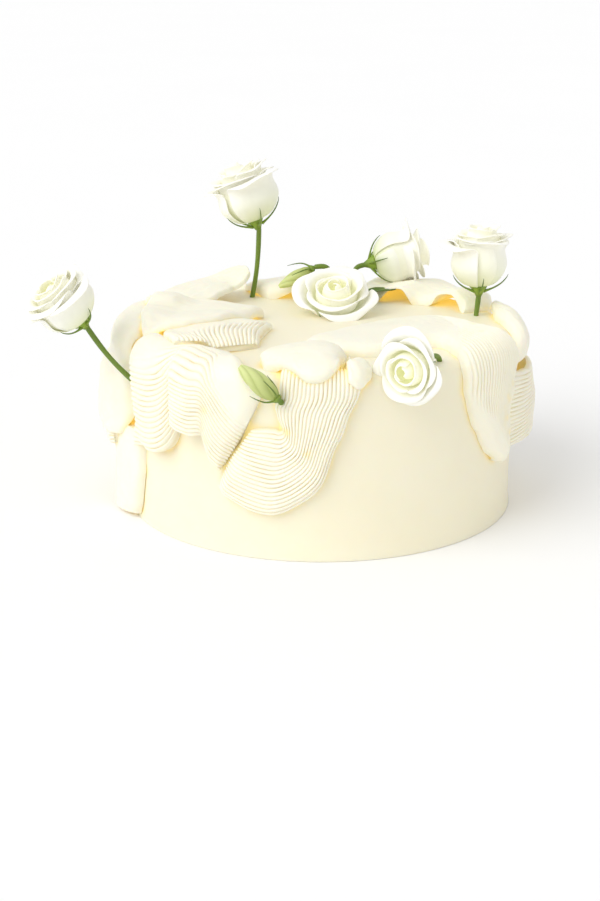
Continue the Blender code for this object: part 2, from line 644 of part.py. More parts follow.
def set_flowers():
    """The stems, blooms, buds and leaf. A bloom's foot is the top of its stem."""
    stem("flower_left_stem", (-97, -44.5, 74.4), (-134, -40, 115), (-9.5, -5, 12.4), (-2, 0, -1), 38)
    bloom("flower_left_bloom", 38, 0.35, (-134, -40, 115), (-9.5, -5, 12.4), 20)
    stem("flower_tall_stem", (-44.5, 71, 94), (-40.4, 70, 151.5), (-7.1, 0, 19.6), (1.5, 0, 0), 41)
    bloom("flower_tall_bloom", 41, 0.15, (-40.4, 70, 151.5), (-7.1, 0, 19.6), 45)
    stem("flower_top_stem", (8.3, 38, 95), (8.3, 34, 104.5), (0, -0.45, 0.89), (0, 0, 0), 38)
    bloom("flower_top_bloom", 38, 1.0, (8.3, 34, 104.5), (0, -0.45, 0.89), 10)
    stem("flower_back_stem", (20, 70, 104.5), (33.5, 78, 123.8), (18, 2, 4.6), (-3, 0, 5), 35)
    bloom("flower_back_bloom", 35, 0.0, (33.5, 78, 123.8), (18, 2, 4.6), 0)
    stem("flower_right_stem", (91, 22, 94), (93.2, 25, 121), (0, 0, 1), (0, 0, 0), 38)
    bloom("flower_right_bloom", 38, 0.0, (93.2, 25, 121), (0, 0, 1), 30)
    stem("flower_front_stem", (64, -78, 97), (50, -102, 106), (-14, -25, 0), (3, 3, 5), 33)
    bloom("flower_front_bloom", 33, 1.0, (50, -102, 106), (-14, -25, 0), 15)
    stem("bud_front_stem", (-20, -104, 89), (-22.5, -120.5, 93.6), (-19, 3, 16), (0, 0, -1), 14, 3,
         BUD_CALYX, BUD_NECK, BUD_SEPAL_RUN)
    bud("bud_front", (-22.5, -120.5, 93.6), (-41.5, -117.5, 109.7), 10)
    stem("bud_top_stem", (6, 66, 104.5), (-6, 62, 122.5), (-20, -2, -10.5), (4, 0, 7), 15, 4, BUD_CALYX,
         BUD_NECK, BUD_SEPAL_RUN)
    bud("bud_top", (-6, 62, 122.5), (-25.6, 60, 112), 8)
    leaf("leaf_top", (22, 55, 105), (46, 60, 111), 11, 2)


def main():
    clear_scene()
    pieces.append(cake_body())
    lay_ribbons()
    set_flowers()


main()
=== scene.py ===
"""Celebration cake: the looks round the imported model. Metres, +Z up, origin at the centre of the foot.

A place on the cake is (degrees, down, lift): degrees round the cake from the front (-Y), positive towards
+X; down, the millimetres along the icing from the middle of the rounded rim, negative on the top and
positive on the side; and lift, the millimetres that a ribbon's underside stands off the icing.
"""

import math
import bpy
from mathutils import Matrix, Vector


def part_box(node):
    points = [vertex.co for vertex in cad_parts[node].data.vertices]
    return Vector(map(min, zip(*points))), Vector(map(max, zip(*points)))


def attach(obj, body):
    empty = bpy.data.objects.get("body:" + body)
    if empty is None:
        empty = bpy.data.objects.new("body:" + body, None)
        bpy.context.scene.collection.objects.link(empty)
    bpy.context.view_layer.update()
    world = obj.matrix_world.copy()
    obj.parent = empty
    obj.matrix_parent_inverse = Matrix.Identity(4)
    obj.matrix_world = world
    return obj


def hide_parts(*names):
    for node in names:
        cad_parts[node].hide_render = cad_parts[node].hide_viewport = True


bl_info = {
    "name": "Celebration Cake",
    "version": (1, 0, 0),
    "blender": (4, 5, 0),
    "location": "View3D > Sidebar > Cake",
    "description": "Builds an iced cake with combed buttercream ribbons and white flowers",
    "category": "Add Mesh",
}

import bmesh
import bpy
import numpy as np
from bpy.props import FloatProperty, FloatVectorProperty, PointerProperty
from mathutils import Matrix, Vector
from mathutils.bvhtree import BVHTree
from mathutils.kdtree import KDTree

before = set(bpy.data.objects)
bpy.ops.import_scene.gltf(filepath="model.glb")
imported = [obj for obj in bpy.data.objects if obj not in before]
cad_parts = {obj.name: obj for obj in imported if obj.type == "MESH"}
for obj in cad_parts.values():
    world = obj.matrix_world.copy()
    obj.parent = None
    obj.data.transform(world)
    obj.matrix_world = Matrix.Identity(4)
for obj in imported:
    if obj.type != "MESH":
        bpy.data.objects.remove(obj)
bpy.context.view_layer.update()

MM = 0.001
CAKE_LOW, CAKE_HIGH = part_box("cake_body")
ROOT = "root"

# The tier: sides round it, and steps over its rim, its foot, its side and its top.
TIER_SIDES = 240
RIM_SEGMENTS = 10
FOOT_SEGMENTS = 4
SIDE_STEPS = 36
TOP_RINGS = 22
TOP_STEP = 0.04
TIER_SHRINK = 0.5
TIER_FOOT = 4 * MM

# How a ribbon lies on what is under it, in millimetres.
PROBE_HEIGHT = 60 * MM
PROBES = 6
LEAST_ROUND = 20
LAY_GAP = 1.0
LAY_REACH = 3.0
RIM_STAND = 3.6
RIM_REACH = 8.0
EASE = 0.4
SINK = 0.4
REST_START = 3.8
REST_END = 7.0

# How a ribbon is made: its faces, and the millimetres over which its edges and ends change.
LOW_FACES = 10
GROOVE_FACES = 8
SMOOTH_ACROSS = 48
EDGE_ROUND = 1.8
EDGE_THIN = 0.15
EDGE_SINK = 0.6
EDGE_FALL = 3.0
LEAST_WIDTH = 8
CREST_SHAPE = 0.6
RIDGE_SHARPNESS = 6
FRILL = 0.5
FRILL_REACH = 3
RAGGED = 1.6
RAGGED_REACH = 2.0
BOW = 1.5
BOW_REACH = 8
STREAK = 0.07

# How shut in each point of the icing is, measured for the painted shade and painted glow of the deep folds.
POCKET_SPACING = 2.2 * MM
POCKET_RAYS = 12
POCKET_LEAN = 1.05
POCKET_START = 0.9 * MM
POCKET_REACH = 22 * MM
POCKET_NEAR = 9
POCKET_BLUR = 2.4 * MM
POCKET_FROM = 0.12
POCKET_FULL = 0.55

CAMERA_PLACE = (0, -942.52 * MM, 334.14 * MM)
CAMERA_TURN = (math.radians(71.905), 0, math.radians(0.729))
CAMERA_LENS = 66.7
SENSOR = 36
FLOOR_SIZE = 30
FLOOR_HEIGHT = -0.2 * MM
KEY_TURN = (math.radians(50), 0, math.radians(-52))
KEY_SPREAD = 50
KEY_POWER = 1.4
WORLD_POWER = 0.76

laid = []


class CakeSizes(bpy.types.PropertyGroup):
    radius: FloatProperty(name="Tier radius", description="Radius of the iced tier", default=CAKE_HIGH[0],
                          unit="LENGTH")
    height: FloatProperty(name="Tier height", description="Height of the iced tier", default=CAKE_HIGH[2],
                          unit="LENGTH")
    rim_round: FloatProperty(name="Rim rounding", description="Radius of the tier's top edge",
                             default=8 * MM, unit="LENGTH")
    foot_round: FloatProperty(name="Foot rounding", description="Radius of the tier's bottom edge",
                              default=2.5 * MM, unit="LENGTH")
    ribbon_thickness: FloatProperty(name="Ribbon thickness", description="Thickness of a piped ribbon",
                                    default=2.8 * MM, unit="LENGTH")
    ridge_depth: FloatProperty(name="Ridge depth", description="Depth of the combed grooves",
                               default=1.1 * MM, unit="LENGTH")
    petal_thickness: FloatProperty(name="Petal thickness", description="Thickness of a petal",
                                   default=0.75 * MM, unit="LENGTH")
    stem_radius: FloatProperty(name="Stem radius", description="Radius of a flower stem", default=1.5 * MM,
                               unit="LENGTH")


def colour_property(name, description, default):
    return FloatVectorProperty(name=name, description=description, subtype="COLOR", size=3, min=0, max=1,
                               default=default)


class CakeColours(bpy.types.PropertyGroup):
    tier: colour_property("Tier icing", "Colour of the smooth icing", (0.95, 0.895, 0.71))
    ribbon: colour_property("Ribbon icing", "Colour of the ribbons", (0.965, 0.925, 0.77))
    # Painted shade: the darker colour put deep in the combed grooves, in place of the shade there.
    painted_groove_shade: colour_property("Groove", "Colour deep in the combed grooves", (0.76, 0.66, 0.37))
    # Painted shade: the yellowed colour put on the icing where deep folds shut it in, in place of real shade
    # there.
    painted_fold_shade: colour_property("Pocket", "Colour of the icing in deep folds", (0.96, 0.80, 0.40))
    # Painted glow: a faint glow in the deep folds standing in for light bouncing about there; it is no lamp.
    painted_fold_glow: colour_property("Pocket glow", "Light that bounces about in deep folds", (0.20, 0.15, 0.03))
    petal: colour_property("Petals", "Colour of the petals", (0.95, 0.945, 0.89))
    petal_foot: colour_property("Petal foot", "Colour of the petals at the calyx", (0.50, 0.62, 0.12))
    # Partly the bloom's own creamier heart and partly painted warm shade deep in the heart.
    petal_heart_and_shade: colour_property("Petal heart", "Colour inside the heart of a bloom", (0.92, 0.90, 0.64))
    # Painted glow: every petal glows faintly, most in the heart, standing in for light let through the thin
    # petals; it is no lamp.
    petal_painted_glow: colour_property("Petal glow", "Light that the thin petals let through", (0.23, 0.222, 0.155))
    stem: colour_property("Stems", "Colour of the stems", (0.12, 0.20, 0.022))
    calyx: colour_property("Calyx", "Colour of the calyx", (0.30, 0.44, 0.05))
    sepal: colour_property("Sepals", "Colour of the sepals' tips", (0.05, 0.10, 0.02))
    bud: colour_property("Buds", "Colour of the closed buds", (0.68, 0.74, 0.32))
    floor: colour_property("Floor", "Colour of the floor", (0.97, 0.97, 0.97))


def sizes():
    return bpy.context.scene.cake_sizes


def colours():
    return bpy.context.scene.cake_colours


class Value:
    """A node socket that Python's own operators work on."""

    def __init__(self, maker, socket):
        self.maker = maker
        self.socket = socket

    def maths(self, operation, other, swap=False):
        pair = (other, self) if swap else (self, other)
        return self.maker.node("ShaderNodeMath", {"operation": operation}, dict(enumerate(pair)))

    def __add__(self, other):
        return self.maths("ADD", other)

    def __rsub__(self, other):
        return self.maths("SUBTRACT", other, swap=True)

    def __mul__(self, other):
        return self.maths("MULTIPLY", other)

    def __pow__(self, other):
        return self.maths("POWER", other)

    __radd__ = __add__


class Finish:
    """One material, made node by node."""

    def __init__(self, name, roughness, **constants):
        self.material = bpy.data.materials.new(name)
        self.material.use_nodes = True
        self.tree = self.material.node_tree
        self.shader = self.tree.nodes["Principled BSDF"]
        self.shader.inputs["Roughness"].default_value = roughness
        for socket, value in constants.items():
            self.shader.inputs[socket.replace("_", " ")].default_value = value

    def node(self, kind, settings=None, inputs=None, output=0):
        made = self.tree.nodes.new(kind)
        for key, value in (settings or {}).items():
            setattr(made, key, value)
        for key, value in (inputs or {}).items():
            self.put(made.inputs[key], value)
        return Value(self, made.outputs[output])

    def put(self, socket, value):
        if isinstance(value, Value):
            self.tree.links.new(value.socket, socket)
        elif socket.type == "RGBA":
            socket.default_value = (*value[:3], 1)
        else:
            socket.default_value = value

    def surface(self, socket, value):
        self.put(self.shader.inputs[socket], value)

    def attribute(self, name):
        return self.node("ShaderNodeAttribute", {"attribute_name": name}, output="Fac")

    def place(self):
        return self.node("ShaderNodeTexCoord", output="Object")

    def noise(self, scale, detail=2.0, roughness=0.5):
        inputs = {"Vector": self.place(), "Scale": scale, "Detail": detail, "Roughness": roughness}
        return self.node("ShaderNodeTexNoise", inputs=inputs)

    def blend(self, share, first, second):
        inputs = {"Factor": share, 6: first, 7: second}
        return self.node("ShaderNodeMix", {"data_type": "RGBA"}, inputs, output=2)

    def bump(self, height, strength, distance):
        inputs = {"Height": height, "Strength": strength, "Distance": distance}
        self.surface("Normal", self.node("ShaderNodeBump", inputs=inputs))


def tier_icing():
    made = Finish("tier_icing", 0.5, Subsurface_Weight=0.25, Subsurface_Radius=(1.0, 0.75, 0.4),
                  Subsurface_Scale=4 * MM, Emission_Strength=1.0)
    drift = made.noise(26.0, 3.0)
    deep = tuple(c * k for c, k in zip(colours().tier, (0.97, 0.95, 0.88)))
    lit = made.blend(drift * 0.8, colours().tier, deep)
    # Painted shade and painted glow: the icing turns yellow and glows faintly where ribbons shut it in.
    painted_fold_shade = made.attribute("painted_fold_shade")
    made.surface("Base Color", made.blend(painted_fold_shade ** 1.5 * 0.9, lit, colours().painted_fold_shade))
    made.surface("Emission Color", made.blend(painted_fold_shade ** 4, (0, 0, 0), colours().painted_fold_glow))
    made.surface("Roughness", 0.42 + made.noise(60.0) * 0.16)
    made.bump(made.noise(320.0, 4.0) + made.noise(90.0, 2.0) * 2.0, 0.12, 0.4 * MM)
    return made.material


def ribbon_icing():
    made = Finish("ribbon_icing", 0.45, Subsurface_Weight=0.3, Subsurface_Radius=(1.0, 0.75, 0.4),
                  Subsurface_Scale=3 * MM, Emission_Strength=1.0)
    # Painted shade deep in the combed grooves, then painted shade and painted glow in the deep folds.
    painted_groove_shade = made.attribute("painted_groove_shade") ** 1.6
    painted_fold_shade = made.attribute("painted_fold_shade")
    lit = made.blend(painted_groove_shade * 0.9, colours().ribbon, colours().painted_groove_shade)
    made.surface("Base Color", made.blend(painted_fold_shade ** 1.5 * 0.7, lit, colours().painted_fold_shade))
    made.surface("Emission Color", made.blend(painted_fold_shade ** 4, (0, 0, 0), colours().painted_fold_glow))
    made.surface("Roughness", 0.38 + made.noise(80.0) * 0.18)
    made.bump(made.noise(420.0, 4.0) + made.noise(130.0, 2.0) * 1.5, 0.15, 0.35 * MM)
    return made.material


def petal_white():
    made = Finish("petal_white", 0.55, Subsurface_Weight=0.12, Subsurface_Radius=(1.0, 0.95, 0.75),
                  Subsurface_Scale=1.5 * MM, Sheen_Weight=0.1, Emission_Strength=1.0)
    vein = made.attribute("vein")
    # The heart takes a creamier colour that is partly its own and partly painted warm shade, and every petal
    # gets a painted glow, most in the heart.
    heart = made.attribute("heart")
    body = made.blend(heart * 0.9, colours().petal, colours().petal_heart_and_shade)
    made.surface("Emission Color", made.blend(heart * 0.8 + 0.2, (0, 0, 0), colours().petal_painted_glow))
    made.surface("Base Color", made.blend(made.attribute("foot") ** 2.2, body, colours().petal_foot))
    made.bump(vein + made.noise(500.0, 3.0) * 0.4, 0.2, 0.3 * MM)
    return made.material


def greenery():
    made = Finish("greenery", 0.45, Subsurface_Weight=0.1, Subsurface_Radius=(0.4, 1.0, 0.2),
                  Subsurface_Scale=1.5 * MM)
    tint = made.attribute("tint")
    mottle = made.noise(220.0, 3.0)
    fresh = tuple(min(1, c * k) for c, k in zip(colours().stem, (1.7, 1.5, 1.3)))
    green = made.blend(mottle * 0.7, colours().stem, fresh)
    green = made.blend((0 - tint) * 0.8, green, colours().calyx)
    made.surface("Base Color", made.blend(tint * 0.8, green, colours().sepal))
    made.bump(made.noise(700.0, 2.0), 0.2, 0.2 * MM)
    return made.material


def bud_green():
    made = Finish("bud_green", 0.5, Subsurface_Weight=0.25, Subsurface_Radius=(0.7, 1.0, 0.4),
                  Subsurface_Scale=2 * MM)
    foot = made.attribute("foot")
    seam = made.attribute("vein")
    base = tuple(c * k for c, k in zip(colours().bud, (0.55, 0.60, 0.32)))
    body = made.blend(foot * 0.9, colours().bud, base)
    made.surface("Base Color", made.blend(seam * 0.5, body, base))
    made.bump(seam + made.noise(400.0, 2.0) * 0.5, 0.3, 0.3 * MM)
    return made.material


def floor_white():
    made = Finish("floor_white", 0.9)
    pale = tuple(c * 0.985 for c in colours().floor)
    made.surface("Base Color", made.blend(made.noise(3.0), colours().floor, pale))
    return made.material


finishes = {}


def finish_of(name):
    makers = {"tier": tier_icing, "ribbon": ribbon_icing, "petal": petal_white, "green": greenery,
              "bud": bud_green, "floor": floor_white}
    if name not in finishes:
        finishes[name] = makers[name]()
    return finishes[name]


def deselect():
    for thing in bpy.context.selected_objects:
        thing.select_set(False)


def start_piece(name, finish):
    """Names the object that an add operator has just made and gives it its finish."""
    piece = bpy.context.active_object
    piece.name = piece.data.name = "dressed_" + name
    piece.data.materials.append(finish_of(finish))
    return piece


def settle(piece, node):
    """Puts a finished piece on the cake in the place of a CAD node."""
    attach(piece, ROOT)
    if node:
        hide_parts(node)


def set_points(mesh, points):
    mesh.vertices.foreach_set("co", np.asarray(points, dtype=np.float32).ravel())
    mesh.update()


def set_values(mesh, name, values):
    layer = mesh.attributes.get(name) or mesh.attributes.new(name, "FLOAT", "POINT")
    layer.data.foreach_set("value", np.asarray(values, dtype=np.float32).ravel())


def grid_piece(name, finish, across, along):
    """A fresh grid of across by along faces, and each vertex's column and row in it."""
    deselect()
    bpy.ops.mesh.primitive_grid_add(x_subdivisions=across, y_subdivisions=along, size=1)
    piece = start_piece(name, finish)
    flat = np.empty(len(piece.data.vertices) * 3, dtype=np.float32)
    piece.data.vertices.foreach_get("co", flat)
    flat = flat.reshape(-1, 3)
    columns = np.rint((flat[:, 0] + 0.5) * across).astype(int)
    rows = np.rint((flat[:, 1] + 0.5) * along).astype(int)
    return piece, columns, rows


def close_tube():
    """Welds the long seam of a wrapped grid, closes its two ends and turns its faces outwards."""
    bpy.ops.object.mode_set(mode="EDIT")
    bpy.ops.mesh.select_all(action="SELECT")
    bpy.ops.mesh.remove_doubles(threshold=1e-6)
    bpy.ops.mesh.fill_holes(sides=0)
    bpy.ops.mesh.select_all(action="SELECT")
    bpy.ops.mesh.normals_make_consistent(inside=False)
    bpy.ops.object.mode_set(mode="OBJECT")


def joined(parts):
    """Joins parts into the first of them."""
    deselect()
    for part in parts:
        part.select_set(True)
    bpy.context.view_layer.objects.active = parts[0]
    bpy.ops.object.join()
    return bpy.context.active_object


def thicken(piece, thickness):
    """Gives a thin sheet its thickness and softens it."""
    wall = piece.modifiers.new("wall", "SOLIDIFY")
    wall.thickness = thickness
    wall.offset = 0
    bpy.ops.object.modifier_apply(modifier="wall")
    smooth = piece.modifiers.new("smooth", "SUBSURF")
    smooth.levels = smooth.render_levels = 1
    bpy.ops.object.modifier_apply(modifier="smooth")
    bpy.ops.object.shade_smooth()


def spline(rows, count):
    """count rows along a smooth curve through the given rows of numbers (Catmull-Rom)."""
    rows = np.asarray(rows, dtype=float)
    last = len(rows) - 1
    along = np.linspace(0, last, count)
    first = np.minimum(along.astype(int), last - 1)
    t = (along - first).reshape(-1, *[1] * (rows.ndim - 1))
    before, start = rows[np.maximum(first - 1, 0)], rows[first]
    end, after = rows[first + 1], rows[np.minimum(first + 2, last)]
    return 0.5 * (2 * start + (end - before) * t + (2 * before - 5 * start + 4 * end - after) * t ** 2
                  + (3 * start - before - 3 * end + after) * t ** 3)


def icing_places(degrees, down, lift):
    """Points at a lift over the icing, for arrays of places in degrees and millimetres."""
    size = sizes()
    rim = size.rim_round / MM
    along = down + rim * math.pi / 4
    bend = np.clip(along / rim, 0, math.pi / 2)
    radius = size.radius / MM - rim + rim * np.sin(bend) + np.minimum(along, 0)
    height = size.height / MM - rim + rim * np.cos(bend) - np.maximum(along - rim * math.pi / 2, 0)
    turn = np.radians(degrees)
    out = radius + lift * np.sin(bend)
    return np.stack([out * np.sin(turn), -out * np.cos(turn), height + lift * np.cos(bend)], axis=-1) * MM


def wobble(points, size, seed):
    """A smooth made-up unevenness between about -1 and 1, with bumps of about the given size in metres."""
    draw = np.random.RandomState(seed)
    total = 0
    for _ in range(5):
        way = draw.normal(size=3)
        way *= 2 * math.pi / size / np.linalg.norm(way) * draw.uniform(0.6, 1.4)
        total = total + np.sin(points @ way + draw.uniform(0, 2 * math.pi))
    return total / 3


def tree_of(piece):
    verts = [vert.co for vert in piece.data.vertices]
    return BVHTree.FromPolygons(verts, [face.vertices for face in piece.data.polygons])


def heights_laid(degrees, down):
    """How high what is laid stands, in millimetres: the highest near each place, and right under it."""
    highest = np.zeros(degrees.shape)
    radius = sizes().radius / MM + np.minimum(down, 0)
    turns = [2 * math.pi * k / PROBES for k in range(PROBES)]
    for side, along in [(0, 0)] + [(math.cos(turn), math.sin(turn)) for turn in turns]:
        at = degrees + np.degrees(side * LAY_REACH / np.maximum(radius, LEAST_ROUND))
        over = icing_places(at, down + along * LAY_REACH, PROBE_HEIGHT / MM)
        foot = icing_places(at, down + along * LAY_REACH, 0.0)
        for index in np.ndindex(degrees.shape):
            start = Vector(over[index])
            way = Vector(foot[index]) - start
            for tree in laid:
                hit = tree.ray_cast(start, way, PROBE_HEIGHT)
                if hit[3] is not None:
                    highest[index] = max(highest[index], (PROBE_HEIGHT - hit[3]) / MM)
        if side == along == 0:
            here = highest.copy()
    return highest, here


def rim_stand(down):
    return RIM_STAND * np.clip(2 - np.abs(down) / RIM_REACH, 0, 1)


def ribbon_rows(a_path, b_path, shares):
    """Places between two paths at shares of the width, as arrays of degrees, down and lift."""
    return [a_path[:, k, None] + (b_path[:, k] - a_path[:, k])[:, None] * shares[None, :] for k in range(3)]


def underside(a_rail, b_rail, crown):
    """How high a ribbon lies on a coarse net of places, and how far the icing under it fills the gap."""
    count = 3 * (len(a_rail) - 1) + 1
    shares = np.linspace(0, 1, LOW_FACES + 1)
    degrees, down, lift = ribbon_rows(spline(a_rail, count), spline(b_rail, count), shares)
    lift = lift + crown * np.sin(math.pi * shares)[None, :]
    highest, here = heights_laid(degrees, down)
    over = np.maximum(np.maximum(lift, rim_stand(down)), highest + LAY_GAP)
    eased = over.copy()
    eased[1:-1] = np.maximum(over[1:-1] - EASE, (over[:-2] + 2 * over[1:-1] + over[2:]) / 4)
    gap = eased - here
    return eased, (gap + SINK) * np.clip((REST_END - gap) / (REST_END - REST_START), 0, 1)


def upsampled(coarse, along, across):
    """A coarse net of numbers smoothly refined both ways."""
    return spline(spline(coarse, along).T, across).T


def edge_drift(length, seed):
    """A wavering of a ribbon's edge along its length, in millimetres."""
    waves = np.sin(length / 3.1 + seed) + 0.7 * np.sin(length / 1.7 + 2 * seed)
    return FRILL * (waves + np.sin(length / 7 + 3 * seed)) / 2


def make_ribbon(name, a_rail, b_rail, ridges=0, crown=1.5, fade=(0.0, 0.0), stations=110, seed=1):
    """One piped ribbon between two rails. Ridges run along it, and fade is the smooth share of its width."""
    size = sizes()
    across = ridges * GROOVE_FACES if ridges else SMOOTH_ACROSS
    ring = across + LOW_FACES + 2
    piece, columns, rows = grid_piece(name, "ribbon", ring, stations)
    count = stations + 1
    coarse_low, coarse_fill = underside(a_rail, b_rail, crown)
    shares = np.linspace(0, 1, across + 1)
    low = upsampled(coarse_low, count, across + 1)
    fill = upsampled(coarse_fill, count, across + 1)
    a_path, b_path = spline(a_rail, count), spline(b_rail, count)
    degrees, down, _ = ribbon_rows(a_path, b_path, shares)
    flat = icing_places(degrees, down, low)
    width = np.linalg.norm(flat[:, -1] - flat[:, 0], axis=1)[:, None] / MM
    strides = np.linalg.norm(np.diff(flat[:, across // 2], axis=0), axis=1)
    length = np.concatenate([[0], np.cumsum(strides)]) / MM
    edge = np.minimum(shares, 1 - shares)[None, :] * np.maximum(width, LEAST_WIDTH)
    end = np.minimum(length, length[-1] - length)[:, None]
    rim = np.minimum(edge, end + 0.3)
    rounding = np.sqrt(1 - (1 - np.clip(rim / EDGE_ROUND, 0, 1)) ** 2)
    high = low + size.ribbon_thickness / MM * mix(EDGE_THIN, 1, rounding)
    high = high - EDGE_SINK * fill * np.exp(-(rim / EDGE_FALL) ** 2)
    painted_groove_shade = np.zeros_like(high)
    ragged = np.zeros_like(high)
    if ridges:
        phase = shares[None, :] * ridges + 0.06 * np.sin(length[:, None] / 9 + 7 * shares[None, :] + seed)
        crest = np.abs(np.sin(math.pi * phase)) ** CREST_SHAPE
        smooth_share = spline([(share,) for share in fade], count)
        shown = np.clip((shares[None, :] - smooth_share) * RIDGE_SHARPNESS + 1, 0, 1)
        high = high + size.ridge_depth / MM * shown * (crest - 0.6) * np.clip(rounding * 1.4, 0, 1)
        # How deep in a groove each point lies, for the painted shade in the grooves.
        painted_groove_shade = np.clip((1 - crest) * 1.15, 0, 1) ** 1.5 * shown
        ragged = RAGGED * (crest - 0.5) * np.exp(-end / RAGGED_REACH) * shown
    else:
        streak = np.sin(shares * 31 + seed) + np.sin(shares * 53 + 2 * seed) + np.sin(shares * 17 + 3 * seed)
        high = high + STREAK * streak[None, :] * rounding
    ragged = ragged + BOW * np.sin(math.pi * shares)[None, :] * np.exp(-end / BOW_REACH)
    outward = np.where(length < length[-1] / 2, -1, 1)[:, None]
    ahead = np.gradient(flat, axis=0)
    ahead /= np.maximum(np.linalg.norm(ahead, axis=2, keepdims=True), 1e-9)
    sideways = (flat[:, -1:] - flat[:, :1]) / np.maximum(width[..., None] * MM, 1e-9)
    waver = edge_drift(length[:, None], seed) * np.exp(-(1 - shares) * width / FRILL_REACH)
    waver = waver - edge_drift(length[:, None], seed + 9) * np.exp(-shares * width / FRILL_REACH)
    shift = (ahead * (ragged * outward)[..., None] + sideways * waver[..., None]) * MM
    top = icing_places(degrees, down, high) + shift
    rise = top - shift - flat
    rise = rise / np.maximum(np.linalg.norm(rise, axis=2, keepdims=True), 1e-9)
    uneven = wobble(top, 22 * MM, seed) * 0.35 + wobble(top, 7 * MM, seed + 5) * 0.14
    top = top + uneven[..., None] * MM * rise
    low_shares = np.linspace(1, 0, LOW_FACES + 1)
    low_degrees, low_down, _ = ribbon_rows(a_path, b_path, low_shares)
    under_low = upsampled(coarse_low - coarse_fill, count, LOW_FACES + 1)[:, ::-1]
    bottom = icing_places(low_degrees, low_down, under_low)
    bottom = bottom + shift[:, np.rint(low_shares * across).astype(int)]
    net = np.concatenate([top, bottom, top[:, :1]], axis=1)
    set_points(piece.data, net[rows, columns])
    # The painted groove shade for the top, and none on the underside.
    marks = np.concatenate([painted_groove_shade, np.zeros_like(bottom[..., 0]), painted_groove_shade[:, :1]], axis=1)
    set_values(piece.data, "painted_groove_shade", marks[rows, columns])
    close_tube()
    bpy.ops.object.shade_smooth_by_angle(angle=math.radians(60))
    laid.append(tree_of(piece))
    settle(piece, name)
    return piece


def shade_pockets(pieces):
    """Marks how deep in the folds each point of the icing lies, as the share of painted shade and painted
    glow it gets there.
    """
    verts = []
    faces = []
    count = 0
    for piece in pieces:
        verts += [vert.co for vert in piece.data.vertices]
        faces += [[count + k for k in face.vertices] for face in piece.data.polygons]
        count += len(piece.data.vertices)
    tree = BVHTree.FromPolygons(verts, faces)
    draw = np.random.RandomState(7)
    for piece in pieces:
        total = len(piece.data.vertices)
        points, normals = np.empty(total * 3, np.float32), np.empty(total * 3, np.float32)
        piece.data.vertices.foreach_get("co", points)
        piece.data.vertices.foreach_get("normal", normals)
        points, normals = points.reshape(-1, 3), normals.reshape(-1, 3)
        order = draw.permutation(total)
        cells = np.floor(points[order] / POCKET_SPACING).astype(int)
        picks = order[np.unique(cells, axis=0, return_index=True)[1]]
        shut = np.zeros(len(picks), np.float32)
        for index, pick in enumerate(picks):
            start = Vector((points[pick] + normals[pick] * POCKET_START).tolist())
            ways = draw.normal(size=(POCKET_RAYS, 3))
            ways = ways / np.linalg.norm(ways, axis=1, keepdims=True) + normals[pick] * POCKET_LEAN
            for way in ways:
                hit = tree.ray_cast(start, Vector(way.tolist()).normalized(), POCKET_REACH)
                if hit[3] is not None:
                    shut[index] += (1 - hit[3] / POCKET_REACH) / POCKET_RAYS
        near = KDTree(len(picks))
        for index, pick in enumerate(picks):
            near.insert(points[pick].tolist(), index)
        near.balance()
        marks = np.empty(total, np.float32)
        for index in range(total):
            found = near.find_n(points[index].tolist(), POCKET_NEAR)
            weights = [math.exp(-(far / POCKET_BLUR) ** 2 / 2) for _, _, far in found]
            marks[index] = sum(w * shut[k] for w, (_, k, _) in zip(weights, found)) / (sum(weights) + 1e-9)
        depth = (marks - POCKET_FROM) / (POCKET_FULL - POCKET_FROM)
        set_values(piece.data, "painted_fold_shade", np.clip(depth, 0, 1))


